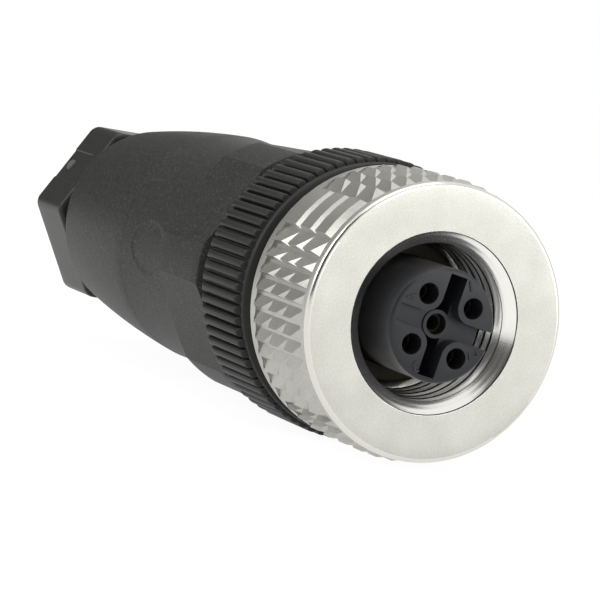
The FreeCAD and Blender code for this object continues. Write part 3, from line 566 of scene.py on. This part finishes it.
def gland_row(depth, inset, sunk):
    """A rounded hexagon drawn in by the inset, with the recess sunk into one of its flats."""
    row = []
    for flat in range(6):
        for across in acrosses:
            in_recess = sunk and flat == RECESS_FLAT and abs(across) < RECESS_HALF_WIDTH
            drop = RECESS_SINK if in_recess else 0.0
            row.append(flat_point(depth, flat, GLAND_FLAT - inset - drop, across))
        for step in range(GLAND_CORNER_STEPS + 1):
            turn = math.radians(60 / GLAND_CORNER_STEPS * step)
            height = GLAND_FLAT - GLAND_ROUND + (GLAND_ROUND - inset) * math.cos(turn)
            across = flat_half + (GLAND_ROUND - inset) * math.sin(turn)
            row.append(flat_point(depth, flat, height, across))
    return row


# Gate scar: the stub where the gland nut was broken off its runner, torn, so rougher than the moulded skin.
# Its paler colour is partly the torn plastic and partly a painted highlight.
gate_scar_and_highlight = plastic("gate_scar_and_highlight", "#4C4C4A", "#606060", 0.6, 0.2, 0.02)
gland_polyamide = plastic("gland_polyamide", "#2A2A28", "#30302E", 0.36, 0.5, 0.006, gloss=0.22)
rows = [gland_row(depth, inset, False) for depth, inset in GLAND_FRONT_ROWS]
rows.extend(gland_row(depth, inset, True) for depth, inset in GLAND_SIDE_ROWS + GLAND_REAR_ROWS)
clocks = [point[2] for point in rows[0]]
rows.extend(round_rows(GLAND_INNER_ROWS, clocks))
shell = bmesh.new()
walked(shell, rows)
before = set(shell.faces)
gate = bmesh.ops.create_uvsphere(shell, u_segments=24, v_segments=12, radius=GATE_RADIUS * MM)["verts"]
# The gate stub takes the paler material, which is partly a painted highlight.
for face in shell.faces:
    face.material_index = int(face not in before)
bmesh.ops.scale(shell, vec=(1, 1, GATE_HEIGHT / GATE_RADIUS), verts=gate)
bmesh.ops.translate(shell, vec=(-GATE_DEPTH * MM, 0, (GLAND_FLAT - RECESS_SINK) * MM), verts=gate)
to_flat = Matrix.Rotation(math.radians(-60 * RECESS_FLAT), 3, "X")
bmesh.ops.rotate(shell, cent=(0, 0, 0), matrix=to_flat, verts=gate)
piece("gland_moulding", shell, ["gland_nut"], "gland", [gland_polyamide, gate_scar_and_highlight],
      crease=30)

# Floor: a white sheet level with the lowest ribs of the collar. The part keeps its axis level,
# as its mate would hold it, so the gland nut stays clear of the floor.
FLOOR_HALF = 1.5
low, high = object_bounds()
card = bmesh.new()
bmesh.ops.create_grid(card, x_segments=1, y_segments=1, size=FLOOR_HALF)
floor_data = bpy.data.meshes.new("floor")
card.to_mesh(floor_data)
card.free()
floor_data.transform(Matrix.Translation((0, 0, low.z)))
floor = bpy.data.objects.new("floor", floor_data)
bpy.context.scene.collection.objects.link(floor)


def background_rays(tree):
    """One for a ray that comes from the camera, a mirror or glass, and nought for any other."""
    ray = add(tree, "ShaderNodeLightPath").outputs
    seen = add(tree, "ShaderNodeMath", links={0: ray["Is Camera Ray"], 1: ray["Is Glossy Ray"]},
               operation="MAXIMUM")
    seen = add(tree, "ShaderNodeMath", links={0: seen.outputs[0], 1: ray["Is Transmission Ray"]},
               operation="MAXIMUM")
    return seen.outputs[0]


white_floor, tree = tree_of("white_floor")
share = add(tree, "ShaderNodeMath", {1: 0.86}, {0: background_rays(tree)}, operation="MULTIPLY")
paper = add(tree, "ShaderNodeBsdfDiffuse", {"Color": linear("#F2F2F2")})
glow = add(tree, "ShaderNodeEmission", {"Color": linear("#FFFFFF"), "Strength": 1.1})
mixed = add(tree, "ShaderNodeMixShader", links={0: share.outputs[0], 1: paper.outputs[0], 2: glow.outputs[0]})
add(tree, "ShaderNodeOutputMaterial", links={"Surface": mixed.outputs[0]})
floor_data.materials.append(white_floor)

# Light: two large soft boxes and a top light in a white room, which is plain white to the
# camera and in reflections, and dimmer as a light.
world = bpy.data.worlds.new("white_room")
bpy.context.scene.world = world
world.use_nodes = True
tree = world.node_tree
tree.nodes.clear()
level = add(tree, "ShaderNodeMapRange", {"To Min": 0.45, "To Max": 1.0}, {"Value": background_rays(tree)})
glow = add(tree, "ShaderNodeBackground", {"Color": linear("#FFFFFF")}, {"Strength": level.outputs[0]})
add(tree, "ShaderNodeOutputWorld", links={"Surface": glow.outputs[0]})
SOFT_BOXES = {
    "left_box": ((-0.10, -0.42, 0.22), 0.30, 1.0),
    "front_box": ((0.42, 0.26, 0.12), 0.34, 0.9),
    "top_box": ((-0.02, -0.05, 0.5), 0.40, 1.15),
}
for name, (where, size, power) in SOFT_BOXES.items():
    lamp = bpy.data.lights.new(name, "AREA")
    lamp.shape = "SQUARE"
    lamp.size = size
    lamp.energy = power
    holder = bpy.data.objects.new(name, lamp)
    bpy.context.scene.collection.objects.link(holder)
    aim = Vector((-0.02, 0, 0)) - Vector(where)
    holder.location = where
    holder.rotation_mode = "QUATERNION"
    holder.rotation_quaternion = aim.to_track_quat("-Z", "Y")

# Dark flags: two studio cards that the camera doesn't see, one behind the part and one to its
# left above table height. They give the plated teeth and the turned mouth something dark to
# mirror, and keep the white room off the black plastic.
FLAGS = {
    "rear_flag": ((-0.25, -0.03, 0.035), 0.105),
    "side_flag": ((0.172, -0.246, 0.2), 0.2),
}
black_felt, tree = tree_of("black_felt")
place = add(tree, "ShaderNodeTexCoord").outputs["Object"]
weave = add(tree, "ShaderNodeTexNoise", {"Scale": 1 / (2 * MM)}, {"Vector": place})
tone = add(tree, "ShaderNodeMix", {6: linear("#4C4C4C"), 7: linear("#5C5C5C")}, {0: weave.outputs["Fac"]},
           data_type="RGBA")
felt = add(tree, "ShaderNodeBsdfDiffuse", links={"Color": tone.outputs[2]})
add(tree, "ShaderNodeOutputMaterial", links={"Surface": felt.outputs[0]})
for name, (where, half) in FLAGS.items():
    card = bmesh.new()
    bmesh.ops.create_grid(card, x_segments=1, y_segments=1, size=half)
    flag_data = bpy.data.meshes.new(name)
    card.to_mesh(flag_data)
    card.free()
    facing = Vector((-where[0], -where[1], 0)).to_track_quat("Z", "Y").to_matrix().to_4x4()
    flag_data.transform(Matrix.Translation(where) @ facing)
    flag_data.materials.append(black_felt)
    flag = bpy.data.objects.new(name, flag_data)
    bpy.context.scene.collection.objects.link(flag)
    flag.visible_camera = False
    flag.visible_shadow = False
    flag.visible_diffuse = False

# Camera: a long lens in front of the plug, a little to its left and above, rolled as the
# photograph is.
CAMERA_PLACE = Vector((0.21064, -0.11112, 0.01897))
CAMERA_LOOK = Vector((-0.89926, 0.43005, -0.07999)).normalized()
CAMERA_UP = Vector((-0.15126, -0.13416, 0.97934))
lens = bpy.data.cameras.new("camera")
lens.lens = 210
lens.sensor_width = 36
lens.clip_start = 0.01
lens.clip_end = 20
camera = bpy.data.objects.new("camera", lens)
bpy.context.scene.collection.objects.link(camera)
side = CAMERA_LOOK.cross(CAMERA_UP).normalized()
top = side.cross(CAMERA_LOOK)
camera.matrix_world = Matrix((
    (side.x, top.x, -CAMERA_LOOK.x, CAMERA_PLACE.x),
    (side.y, top.y, -CAMERA_LOOK.y, CAMERA_PLACE.y),
    (side.z, top.z, -CAMERA_LOOK.z, CAMERA_PLACE.z),
    (0, 0, 0, 1),
))
bpy.context.scene.camera = camera
bpy.context.scene.view_settings.view_transform = "Standard"
